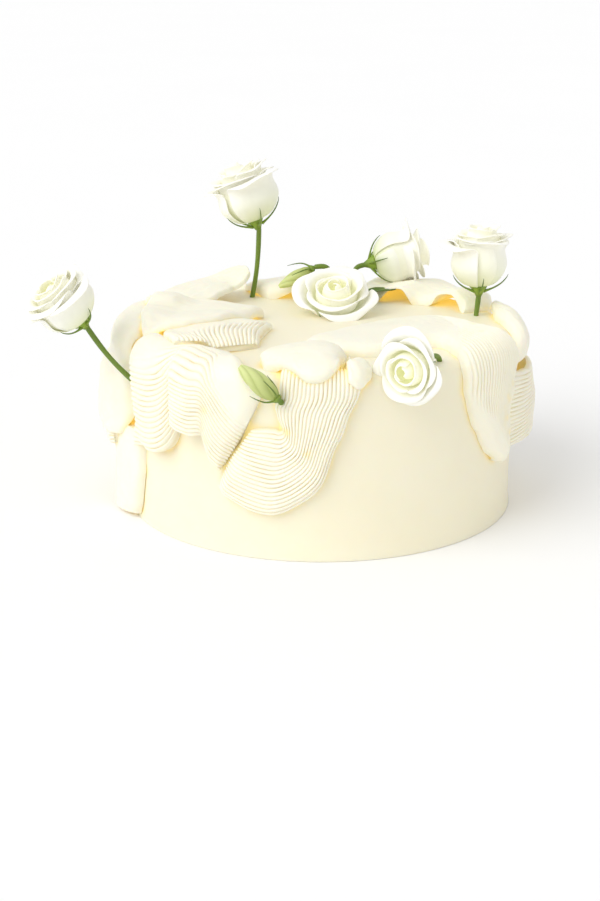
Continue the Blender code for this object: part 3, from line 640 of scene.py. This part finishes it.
RIBBONS = (
    dict(name="ribbon_left_flap", seed=1, stations=70,
         a_rail=[(-86, 50, 6), (-86, 66, 6), (-84, 82, 6), (-80, 98.5, 7)],
         b_rail=[(-60, 48, 1.5), (-61, 66, 2), (-63, 82, 2.5), (-66, 98.5, 3)]),
    dict(name="ribbon_left_ruffle", seed=2, ridges=18,
         a_rail=[(-74, 20, 2), (-84, 18, 7), (-94, 20, 10), (-103, 22, 4), (-111, 22, 2), (-120, 20, 9),
                 (-129, 22, 9), (-138, 24, 3)],
         b_rail=[(-74, 60, 2), (-84, 66, 9), (-94, 68, 12), (-103, 64, 6), (-111, 66, 2), (-120, 70, 11),
                 (-129, 74, 12), (-138, 68, 3)]),
    dict(name="ribbon_left_corner", seed=7, stations=90,
         a_rail=[(-103, -24, 5), (-101, -10, 7), (-98, 6, 7), (-95, 22, 6), (-92, 37, 5), (-90, 52, 4)],
         b_rail=[(-76, -22, 3), (-74, -10, 4), (-72, 6, 4), (-71, 22, 4), (-70, 37, 3), (-70, 52, 3)]),
    dict(name="ribbon_left_wave", seed=3, ridges=24, stations=130,
         fade=(0.42, 0.42, 0.36, 0.18, 0.12, 0.24, 0.42, 0.5),
         a_rail=[(-66, -14, 2), (-62, -15, 2), (-58, -16, 2), (-54, -17, 2), (-50, -18, 2), (-47, -19, 2),
                 (-44.5, -20, 2), (-42, -20, 2), (-38.5, -20, 2), (-35, -20, 2), (-31, -19, 2),
                 (-27, -14, 2), (-22, -4, 2), (-15.5, 9, 2)],
         b_rail=[(-61, 54, 2), (-56.5, 53, 4), (-52, 52.5, 6), (-48, 51, 6), (-45, 47, 5), (-43, 41, 3),
                 (-41.8, 35, 2), (-41, 31.5, 8), (-38, 33, 10), (-35, 35, 9), (-32.5, 35, 5),
                 (-31.8, 41, 4), (-30.3, 49, 4), (-28, 53.5, 3)]),
    dict(name="ribbon_front_fan", seed=4, ridges=20, stations=120,
         a_rail=[(-10.5, -3, 2), (-11, 8, 2), (-12, 15, 2), (-11.5, 20, 2), (-10.5, 24, 2), (-10, 26, 2),
                 (-9.7, 26.5, 2), (-10, 27, 2), (-11.5, 27, 2), (-14, 27.5, 2), (-18, 28, 2)],
         b_rail=[(10.5, -2, 3), (10, 9, 3), (8, 18, 3), (6, 29, 4), (3.5, 41, 4), (0.5, 57, 4),
                 (-6, 69, 3), (-13, 75, 3), (-20, 73, 3), (-26, 68, 3), (-28, 63, 3)]),
    dict(name="ribbon_right_ruffle", seed=5, ridges=19, stations=120,
         a_rail=[(58, 12, 2), (66, 14, 4), (75, 17, 6), (84, 18, 7), (93, 18, 7), (101, 18, 5),
                 (109, 17, 2), (117, 17, 8), (125, 18, 8), (132, 20, 2)],
         b_rail=[(57, 58, 2), (66, 58, 4), (75, 57, 7), (84, 57, 9), (93, 57, 9), (101, 60, 7),
                 (109, 62, 2), (117, 66, 9), (125, 70, 10), (132, 64, 2)]),
    dict(name="ribbon_right_rim", seed=6, stations=70,
         a_rail=[(96, -8, 3), (89, -5, 3), (83, 0, 3), (78, 6, 3), (75, 13, 2)],
         b_rail=[(109, -4, 5), (103, -2, 6), (98, 2, 6), (93, 7, 5), (89, 13, 4)]),
    dict(name="ribbon_back_wave", seed=8, ridges=18, fade=(0.2, 0.2), stations=120,
         a_rail=[(146, 4, 2), (158, -4, 2), (169, 3, 2), (180, -5, 2), (191, 2, 2), (202, -4, 2),
                 (212, 4, 2)],
         b_rail=[(146, 46, 2), (158, 38, 7), (169, 52, 3), (180, 40, 8), (191, 54, 3), (202, 40, 7),
                 (212, 48, 2)]),
    dict(name="ribbon_back_fold", seed=9, stations=70,
         a_rail=[(172, -44, 3), (184, -46, 8), (196, -42, 6), (206, -38, 3)],
         b_rail=[(170, -10, 4), (184, -8, 5), (197, -11, 5), (208, -9, 4)]),
    dict(name="ribbon_back_right", seed=10, stations=120,
         a_rail=[(162, -44, 2), (153, -42, 2), (144, -40, 8), (137, -38, 9), (130, -32, 1), (123, -27, 7),
                 (116, -23, 9), (109, -20, 1)],
         b_rail=[(160, -2, 5), (153, -1, 7), (144, 1, 4), (137, 1, 7), (130, 2, 5), (123, 2, 4), (116, 0, 7),
                 (110, -1, 3)]),
    dict(name="ribbon_top_left_front", seed=11, ridges=20, fade=(1.2, 0.6, 0.1), stations=80,
         a_rail=[(-88, -38, 3), (-76, -22, 4), (-62, -12, 4), (-48, -5, 3)],
         b_rail=[(-66, -80, 3), (-50, -70, 4), (-40, -58, 4), (-32, -46, 3)]),
    dict(name="ribbon_top_left_back", seed=12, stations=100,
         a_rail=[(-93, -30, 4), (-104, -36, 5), (-116, -40, 7), (-128, -38, 8), (-137, -35, 8),
                 (-143, -34, 11), (-147, -31, 14)],
         b_rail=[(-93, -8, 4), (-104, -5, 5), (-116, -3, 6), (-127, -3, 7), (-136, -5, 8),
                 (-143, -8, 12), (-148, -14, 15)]),
    dict(name="ribbon_top_left_middle", seed=13, stations=90,
         a_rail=[(-97, -13, 3), (-103, -28, 6), (-107, -44, 7), (-112, -60, 6), (-117, -73, 4)],
         b_rail=[(-70, -5, 3), (-65, -18, 4), (-64, -34, 5), (-67, -50, 5), (-80, -67, 4)]),
    dict(name="ribbon_right_drape", seed=15, ridges=22, stations=150, crown=2,
         fade=(1.2, 1.2, 1.1, 0.45, 0.12, 0.12, 0.35, 0.75, 1.1),
         a_rail=[(-10, -48, 3), (8, -38, 3), (24, -30, 4), (42, -33, 4), (51, -27, 4), (47, -13, 4),
                 (43, 0, 4), (43, 10, 3), (44, 20, 3), (46, 30, 3), (49, 40, 3), (53, 52, 2), (58, 61, 2)],
         b_rail=[(0, -72, 2), (35, -84, 2), (75, -78, 2), (92, -57, 3), (87, -37, 3), (77, -19, 4),
                 (70, -6, 5), (66, 4, 6), (62.5, 14, 6), (60.5, 24, 6), (59.5, 36, 5), (60.5, 50, 4),
                 (61.5, 62, 3)]),
    dict(name="ribbon_front_fold", seed=16, stations=100, crown=3,
         a_rail=[(-21, -24, 2), (-16, -33, 4), (-9, -38, 5), (-1, -40, 6), (6, -37, 5), (10, -32, 2)],
         b_rail=[(-16, -5, 3), (-11, -3, 4), (-7, 0, 5), (-3, 3, 6), (2, 2, 6), (5, -2, 3)]),
    dict(name="ribbon_front_curl", seed=17, stations=50,
         a_rail=[(9, -13, 2), (11.5, -13, 3), (14, -10, 2)],
         b_rail=[(7, 3, 2), (10, 5, 4), (13.5, 1, 2)]),
)


# The flowers: the foot of each stem in the cake and its head, where the bloom sits, in millimetres; the way
# that the bloom faces; how the stem bows; the bloom's size in millimetres; and how far it has opened, from 0
# for a closed cup to 1 for an open bowl.
FLOWERS = (
    dict(name="flower_left", root=(-97, -44.5, 74.4), head=(-134, -40, 115), facing=(-9.5, -5, 12.4),
         bow=(-2, 0, -1), size=38, openness=0.35, turn=20, petals=14, seed=41),
    dict(name="flower_tall", root=(-44.5, 71, 94), head=(-40.4, 70, 151.5), facing=(-7.1, 0, 19.6),
         bow=(1.5, 0, 0), size=41, openness=0.15, turn=45, petals=14, seed=42),
    dict(name="flower_top", root=(8.3, 38, 98), head=(8.3, 34, 104.5), facing=(0, -0.45, 0.89),
         bow=(0, 0, 0), size=38, openness=1.0, turn=10, petals=12, seed=43),
    dict(name="flower_back", root=(20, 70, 104.5), head=(33.5, 78, 123.8), facing=(18, 2, 4.6),
         bow=(-3, 0, 5), size=35, openness=0.0, turn=0, petals=13, seed=44),
    dict(name="flower_right", root=(91, 22, 94), head=(93.2, 25, 121), facing=(0, 0, 1),
         bow=(0, 0, 0), size=38, openness=0.0, turn=30, petals=14, seed=45),
    dict(name="flower_front", root=(64, -78, 97), head=(50, -102, 106), facing=(-14, -25, 0),
         bow=(3, 3, 5), size=33, openness=1.0, turn=15, petals=12, seed=46),
)
# The buds, placed like the flowers. A bud runs from its stem's head to its tip, and size is its sepals' size.
BUDS = (
    dict(name="bud_front", root=(-20, -104, 89), head=(-22.5, -120.5, 93.6), facing=(-19, 3, 16),
         bow=(0, 0, -1), size=14, sepals=3, tip=(-41.5, -117.5, 109.7), width=10),
    dict(name="bud_top", root=(6, 66, 104.5), head=(-6, 62, 122.5), facing=(-20, -2, -10.5),
         bow=(4, 0, 7), size=15, sepals=4, tip=(-25.6, 60, 112), width=8),
)


def aim(origin, direction, turn=0.0):
    """A matrix that stands a flower's own Z axis along direction, with its foot at origin (millimetres)."""
    facing = Vector(direction).to_track_quat("Z", "Y").to_matrix().to_4x4()
    return Matrix.Translation(Vector(origin) * MM) @ facing @ Matrix.Rotation(math.radians(turn), 4, "Z")


def moved(points, matrix):
    """Points put through a matrix, as an array."""
    table = np.array(matrix)
    return points @ table[:3, :3].T + table[:3, 3]


def mix(first, second, share):
    return first + (second - first) * share


# Side views of a petal, from its foot to its lip, as (radius, height) in shares of the bloom's size. The
# rows go from the heart to the outermost petal: a closed cup's, then an open bowl's.
PETAL_PLACES = (0.0, 0.3, 0.65, 1.0)
CUP = (
    ((0.03, 0.0), (0.10, 0.12), (0.16, 0.42), (0.12, 0.72), (0.07, 0.86), (0.03, 0.92)),
    ((0.04, 0.0), (0.18, 0.10), (0.28, 0.40), (0.24, 0.70), (0.19, 0.86), (0.24, 0.93)),
    ((0.05, 0.0), (0.24, 0.07), (0.39, 0.33), (0.34, 0.62), (0.35, 0.77), (0.46, 0.80)),
    ((0.06, 0.0), (0.27, 0.05), (0.43, 0.29), (0.39, 0.54), (0.46, 0.66), (0.60, 0.63)),
)
BOWL = (
    ((0.03, 0.0), (0.09, 0.10), (0.14, 0.25), (0.12, 0.38), (0.07, 0.45), (0.03, 0.47)),
    ((0.04, 0.0), (0.16, 0.08), (0.25, 0.22), (0.24, 0.37), (0.20, 0.46), (0.22, 0.50)),
    ((0.05, 0.0), (0.22, 0.06), (0.35, 0.18), (0.38, 0.33), (0.42, 0.42), (0.50, 0.42)),
    ((0.06, 0.0), (0.27, 0.04), (0.43, 0.15), (0.52, 0.26), (0.61, 0.31), (0.70, 0.25)),
)
GOLDEN_TURN = math.pi * (3 - math.sqrt(5))
PETAL_ALONG = 14
PETAL_ACROSS = 18
# The half width of the innermost and of the outermost petal as turns round the bloom, and the share of a
# petal's length from which its lip ruffles, with the depth of the ruffle.
PETAL_TURNS = (1.75, 1.12)
PETAL_SPIRAL = 0.07
LIP_START = 0.55
RUFFLE = 0.036
# How much the petals of one bloom differ in reach and height.
UNLIKE = (0.93, 1.05)
VEINS = 34


def petal_outline(share, openness, count=60):
    """The side view of the petal at a share of the way out from the heart, as (radius, height) points."""
    rows = mix(np.array(CUP), np.array(BOWL), openness)
    at = np.interp(share, PETAL_PLACES, range(len(PETAL_PLACES)))
    first = min(int(at), len(PETAL_PLACES) - 2)
    return spline(mix(rows[first], rows[first + 1], at - first), count)


def petal_net(along, across, share, openness, turn, size, draw):
    """The points of one petal, how near each is to its foot and to the bloom's heart, and its veins."""
    u = np.linspace(-1, 1, across + 1)[None, :]
    v = np.linspace(0, 1, along + 1)[:, None]
    outline = petal_outline(share, openness) * (draw.uniform(*UNLIKE), draw.uniform(*UNLIKE))
    reach = v * (1 - (0.10 + 0.22 * share) * np.abs(u) ** 3)
    steps = np.linspace(0, 1, len(outline))
    radius = np.interp(reach, steps, outline[:, 0])
    height = np.interp(reach, steps, outline[:, 1])
    lip = np.clip((reach - LIP_START) / (1 - LIP_START), 0, 1) ** 2
    depth = RUFFLE * (0.15 + share) * lip
    waves, phase = draw.uniform(1.4, 2.2), draw.uniform(0, 2 * math.pi)
    ruffle = np.sin(waves * 2 * u + phase) + 0.35 * np.sin(waves * 4.3 * u + 2 * phase)
    radius = radius * (1 + PETAL_SPIRAL * u) + depth * ruffle
    height = height + depth * np.sin(waves * 2 * u + phase + 1.2)
    angle = turn + u * mix(*PETAL_TURNS, share ** 0.8)
    points = np.stack([radius * np.cos(angle), radius * np.sin(angle), height + 0 * angle], axis=-1) * size
    vein = (0.5 + 0.5 * np.sin(u * VEINS)) * np.ones_like(reach)
    foot = np.clip(1 - v, 0, 1) ** mix(1.2, 1.5, share) * np.ones_like(u)
    heart = (1 - share) * np.clip(1.25 - v, 0, 1) * np.ones_like(u)
    return points, foot, heart, vein


def make_bloom(name, size, openness, foot, direction, turn, petals, seed):
    """A double bloom: petals wound round the heart, each on its own sheet, then given their thickness."""
    draw = np.random.RandomState(seed)
    stand = aim(foot, direction, turn)
    sheets = []
    for k in range(petals):
        share = (k / (petals - 1)) ** 0.8
        piece, columns, rows = grid_piece(name + "_petal", "petal", PETAL_ACROSS, PETAL_ALONG)
        net, *marks = petal_net(PETAL_ALONG, PETAL_ACROSS, share, openness, k * GOLDEN_TURN, size * MM, draw)
        set_points(piece.data, moved(net[rows, columns], stand))
        for mark, values in zip(("foot", "heart", "vein"), marks):
            set_values(piece.data, mark, values[rows, columns])
        sheets.append(piece)
    piece = joined(sheets)
    piece.name = piece.data.name = "dressed_" + name
    thicken(piece, sizes().petal_thickness)
    settle(piece, name)


def round_rod(name, finish, path, radii, sides=14, tint=None):
    """A closed rod along a path, with a radius at each point.

    tint is the share of the dark tip colour there or, below zero, of the fresh calyx colour.
    """
    path, radii = np.asarray(path, dtype=float), np.asarray(radii, dtype=float)
    piece, columns, rows = grid_piece(name, finish, sides, len(path) - 1)
    net = np.empty((len(path), sides + 1, 3))
    turns = np.linspace(0, 2 * math.pi, sides + 1)
    previous = None
    for k, point in enumerate(path):
        ahead = path[min(k + 1, len(path) - 1)] - path[max(k - 1, 0)]
        ahead = ahead / np.linalg.norm(ahead)
        if previous is None:
            side = np.cross(ahead, (0.0, 0.0, 1.0))
        else:
            side = previous - ahead * (previous @ ahead)
        if np.linalg.norm(side) < 1e-6:
            side = np.cross(ahead, (1.0, 0.0, 0.0))
        side = side / np.linalg.norm(side)
        previous = side
        other = np.cross(ahead, side)
        net[k] = point + (np.cos(turns)[:, None] * side + np.sin(turns)[:, None] * other) * radii[k]
    set_points(piece.data, net[rows, columns])
    shade = np.zeros(len(path)) if tint is None else np.asarray(tint, dtype=float)
    set_values(piece.data, "tint", shade[rows])
    close_tube()
    return piece


# A sepal's run from the calyx, as (radius, height) in shares of the bloom's size.
SEPAL_RUN = ((0.08, -0.09), (0.22, -0.03), (0.34, 0.05), (0.42, 0.14), (0.45, 0.20))
BUD_SEPAL_RUN = ((0.05, -0.05), (0.26, 0.08), (0.42, 0.25), (0.53, 0.52), (0.60, 0.80))
CALYX_HEIGHT = 7.0
BUD_NECK = 3.0
BUD_CALYX = 3.0
# Where the calyx widens, as shares of its height and of its radius there.
CALYX_RISES = (0.12, 0.3, 0.5, 0.75, 1.0)
CALYX_SWELLS = (0.36, 0.48, 0.64, 0.84, 1.0)
STEM_POINTS = 24
SEPAL_POINTS = 14
SEPAL_OFFSET = 0.3
BUD_SIDES = 60
BUD_RINGS = 40
LEAF_ACROSS = 12
LEAF_ALONG = 30
LEAF_THICKNESS = 0.6 * MM


def make_stem(name, foot, top, direction, bow, size, sepals=5, calyx=5.2, neck_length=CALYX_HEIGHT,
              sepal_run=SEPAL_RUN):
    """A stem from its foot in the cake to its flower, widening into the calyx, with thin curved sepals."""
    radius = sizes().stem_radius / MM
    end, start, pull = np.array(top, float), np.array(foot, float), np.array(bow, float)
    axis = np.array(direction, float)
    axis /= np.linalg.norm(axis)
    neck = end - axis * neck_length
    steps = np.linspace(0, 1, STEM_POINTS)[:, None]
    path = start + (neck - start) * steps + pull * np.sin(math.pi * steps)
    path = np.concatenate([path, [neck + axis * neck_length * rise for rise in CALYX_RISES]]) * MM
    radii = [radius * (1 + 0.05 * math.sin(9 * step)) for step in steps[:, 0]]
    radii += [calyx * swell for swell in CALYX_SWELLS]
    fresh = -np.clip((np.array(radii) - 1.2 * radius) / radius, 0, 1)
    parts = [round_rod(name, "green", path, np.array(radii) * MM, tint=fresh)]
    stand = aim((0, 0, 0), axis)
    for i in range(sepals):
        angle = 2 * math.pi * (i + SEPAL_OFFSET) / sepals
        run = np.array([(out * math.cos(angle), out * math.sin(angle), rise) for out, rise in sepal_run])
        blade = moved(spline(run, SEPAL_POINTS) * size * MM, stand) + end * MM
        thin = np.interp(np.linspace(0, 1, SEPAL_POINTS), (0, 0.2, 0.7, 1), (1.0, 0.55, 0.32, 0.1)) * MM
        darker = np.linspace(-0.6, 1, SEPAL_POINTS)
        parts.append(round_rod(name + "_sepal", "green", blade, thin, sides=8, tint=darker))
    piece = joined(parts)
    bpy.ops.object.shade_smooth()
    settle(piece, name)


def make_bud(name, foot, tip, width):
    """A closed bud: folded petals twisted round each other, from its calyx to the tip."""
    start, finish = np.array(foot, float), np.array(tip, float)
    run = finish - start
    length = np.linalg.norm(run)
    piece, columns, rows = grid_piece(name, "bud", BUD_SIDES, BUD_RINGS)
    t = np.linspace(0, 1, BUD_RINGS + 1)[:, None]
    turns = np.linspace(0, 2 * math.pi, BUD_SIDES + 1)[None, :]
    seam = np.abs(np.sin(2.5 * (turns - 2.2 * t)))
    swell = np.sin(math.pi * np.clip(0.02 + 0.94 * t, 0, 1) ** 0.8) ** 0.6 * width / 2 + 0.05
    radius = swell * (0.86 + 0.2 * seam ** 0.6)
    local = np.stack([radius * np.cos(turns), radius * np.sin(turns), length * t + 0 * turns], axis=-1) * MM
    stand = aim(foot, run)
    set_points(piece.data, moved(local[rows, columns], stand))
    set_values(piece.data, "foot", ((1 - t) ** 1.5 + 0 * turns)[rows, columns])
    set_values(piece.data, "vein", ((1 - seam) ** 2 + 0 * t)[rows, columns])
    close_tube()
    bpy.ops.object.shade_smooth()
    settle(piece, name)


def make_leaf(name, foot, tip, width, rise):
    """A thin wavy leaf with a raised midrib."""
    start = Vector(foot) * MM
    run = Vector(tip) * MM - start
    side = run.cross(Vector((0, 0, 1))).normalized()
    piece, columns, rows = grid_piece(name, "green", LEAF_ACROSS, LEAF_ALONG)
    u = 2 * columns / LEAF_ACROSS - 1
    t = rows / LEAF_ALONG
    half = width / 2 * MM * (0.04 + 0.96 * np.sin(math.pi * (0.03 + 0.96 * t)) ** 0.8)
    lift = rise * MM * (np.sin(math.pi * t) + 0.5 * u * u * np.sin(5 * t)) + 0.5 * MM * np.abs(u) ** 0.5
    points = np.array(start) + np.outer(t, np.array(run)) + np.outer(u * half, np.array(side))
    points[:, 2] += lift
    set_points(piece.data, points)
    set_values(piece.data, "tint", 0.5 + 0.3 * np.abs(u))
    thicken(piece, LEAF_THICKNESS)
    settle(piece, name)


class CAKE_OT_tier(bpy.types.Operator):
    """Adds the smooth iced tier"""

    bl_idname = "cake.tier"
    bl_label = "Tier"

    def execute(self, context):
        size = sizes()
        deselect()
        bpy.ops.mesh.primitive_cylinder_add(vertices=TIER_SIDES, radius=size.radius, depth=size.height,
                                            location=(0, 0, size.height / 2))
        piece = start_piece("cake_body", "tier")
        bpy.ops.object.transform_apply(location=True, rotation=True, scale=True)
        bpy.ops.object.mode_set(mode="EDIT")
        shape = bmesh.from_edit_mesh(piece.data)
        for edge in shape.edges:
            edge.select_set(all(vert.co.z > size.height - 1e-5 for vert in edge.verts))
        bmesh.update_edit_mesh(piece.data)
        bpy.ops.mesh.bevel(offset=size.rim_round, segments=RIM_SEGMENTS, profile=0.5)
        bpy.ops.mesh.select_all(action="DESELECT")
        shape = bmesh.from_edit_mesh(piece.data)
        for edge in shape.edges:
            edge.select_set(all(vert.co.z < 1e-5 for vert in edge.verts))
        bmesh.update_edit_mesh(piece.data)
        bpy.ops.mesh.bevel(offset=size.foot_round, segments=FOOT_SEGMENTS, profile=0.5)
        bpy.ops.mesh.select_all(action="DESELECT")
        for cut in range(1, SIDE_STEPS):
            bpy.ops.mesh.select_all(action="SELECT")
            level = mix(size.foot_round, size.height - size.rim_round, cut / SIDE_STEPS)
            bpy.ops.mesh.bisect(plane_co=(0, 0, level), plane_no=(0, 0, 1))
        bpy.ops.mesh.select_all(action="DESELECT")
        shape = bmesh.from_edit_mesh(piece.data)
        for face in shape.faces:
            face.select_set(face.normal.z > 0.99 and len(face.verts) > 4)
        bmesh.update_edit_mesh(piece.data)
        for ring in range(TOP_RINGS):
            bpy.ops.mesh.inset(thickness=size.radius * TOP_STEP)
        bpy.ops.object.mode_set(mode="OBJECT")
        points = np.empty(len(piece.data.vertices) * 3, dtype=np.float32)
        piece.data.vertices.foreach_get("co", points)
        points = points.reshape(-1, 3).astype(float)
        inward = points * (1, 1, 0)
        inward /= np.maximum(np.linalg.norm(inward, axis=1, keepdims=True), 1e-9)
        uneven = wobble(points, 60 * MM, 31) * 0.35 + wobble(points * (1, 1, 2.5), 24 * MM, 32) * 0.12
        rising = np.clip(points[:, 2] / TIER_FOOT, 0, 1)
        points += inward * ((uneven - TIER_SHRINK) * rising)[:, None] * MM
        set_points(piece.data, points)
        bpy.ops.object.shade_smooth_by_angle(angle=math.radians(40))
        settle(piece, "cake_body")
        return {"FINISHED"}


class CAKE_OT_ribbons(bpy.types.Operator):
    """Pipes every ribbon over the tier, the lowest first"""

    bl_idname = "cake.ribbons"
    bl_label = "Ribbons"

    def execute(self, context):
        laid.clear()
        pieces = [bpy.data.objects["dressed_cake_body"]]
        for ribbon in RIBBONS:
            pieces.append(make_ribbon(**ribbon))
        # Paints shade and glow into the deep folds of the tier and the ribbons.
        shade_pockets(pieces)
        return {"FINISHED"}


class CAKE_OT_stems(bpy.types.Operator):
    """Adds the stems with their calyxes and sepals"""

    bl_idname = "cake.stems"
    bl_label = "Stems"

    def execute(self, context):
        for flower in FLOWERS:
            make_stem(flower["name"] + "_stem", flower["root"], flower["head"], flower["facing"],
                      flower["bow"], flower["size"])
        for bud in BUDS:
            make_stem(bud["name"] + "_stem", bud["root"], bud["head"], bud["facing"], bud["bow"],
                      bud["size"], bud["sepals"], BUD_CALYX, BUD_NECK, BUD_SEPAL_RUN)
        return {"FINISHED"}


class CAKE_OT_blooms(bpy.types.Operator):
    """Adds the open blooms"""

    bl_idname = "cake.blooms"
    bl_label = "Blooms"

    def execute(self, context):
        for flower in FLOWERS:
            make_bloom(flower["name"] + "_bloom", flower["size"], flower["openness"], flower["head"],
                       flower["facing"], flower["turn"], flower["petals"], flower["seed"])
        return {"FINISHED"}


class CAKE_OT_buds(bpy.types.Operator):
    """Adds the two closed buds"""

    bl_idname = "cake.buds"
    bl_label = "Buds"

    def execute(self, context):
        for bud in BUDS:
            make_bud(bud["name"], bud["head"], bud["tip"], bud["width"])
        return {"FINISHED"}


class CAKE_OT_leaf(bpy.types.Operator):
    """Adds the loose leaf on the top"""

    bl_idname = "cake.leaf"
    bl_label = "Leaf"

    def execute(self, context):
        make_leaf("leaf_top", (22, 55, 105), (46, 60, 111), 11, 2)
        return {"FINISHED"}


class CAKE_OT_stage(bpy.types.Operator):
    """Adds the floor, the soft light and the camera"""

    bl_idname = "cake.stage"
    bl_label = "Stage"

    def execute(self, context):
        deselect()
        bpy.ops.mesh.primitive_plane_add(size=FLOOR_SIZE, location=(0, 0, FLOOR_HEIGHT))
        floor = start_piece("floor", "floor")
        bpy.ops.object.light_add(type="SUN", rotation=KEY_TURN)
        key = context.active_object
        key.name = "key"
        key.data.angle = math.radians(KEY_SPREAD)
        key.data.energy = KEY_POWER
        world = bpy.data.worlds.new("studio")
        context.scene.world = world
        world.use_nodes = True
        world.node_tree.nodes["Background"].inputs["Color"].default_value = (1, 1, 1, 1)
        world.node_tree.nodes["Background"].inputs["Strength"].default_value = WORLD_POWER
        context.scene.view_settings.view_transform = "Standard"
        bpy.ops.object.camera_add(location=CAMERA_PLACE, rotation=CAMERA_TURN)
        camera = context.active_object
        camera.data.lens = CAMERA_LENS
        camera.data.sensor_width = SENSOR
        context.scene.camera = camera
        return {"FINISHED"}


STEPS = ("tier", "ribbons", "stems", "blooms", "buds", "leaf", "stage")


class CAKE_PT_panel(bpy.types.Panel):
    bl_label = "Celebration Cake"
    bl_idname = "CAKE_PT_panel"
    bl_space_type = "VIEW_3D"
    bl_region_type = "UI"
    bl_category = "Cake"

    def draw(self, context):
        for group in (context.scene.cake_sizes, context.scene.cake_colours):
            for name in group.bl_rna.properties.keys():
                if name not in ("rna_type", "name"):
                    self.layout.prop(group, name)
        for step in STEPS:
            self.layout.operator("cake." + step)


CLASSES = (CakeSizes, CakeColours, CAKE_OT_tier, CAKE_OT_ribbons, CAKE_OT_stems, CAKE_OT_blooms,
           CAKE_OT_buds, CAKE_OT_leaf, CAKE_OT_stage, CAKE_PT_panel)


def register():
    for each in CLASSES:
        bpy.utils.register_class(each)
    bpy.types.Scene.cake_sizes = PointerProperty(type=CakeSizes)
    bpy.types.Scene.cake_colours = PointerProperty(type=CakeColours)


def unregister():
    del bpy.types.Scene.cake_colours
    del bpy.types.Scene.cake_sizes
    for each in reversed(CLASSES):
        bpy.utils.unregister_class(each)


def main():
    register()
    for step in STEPS:
        getattr(bpy.ops.cake, step)()
    deselect()


if __name__ == "__main__":
    main()
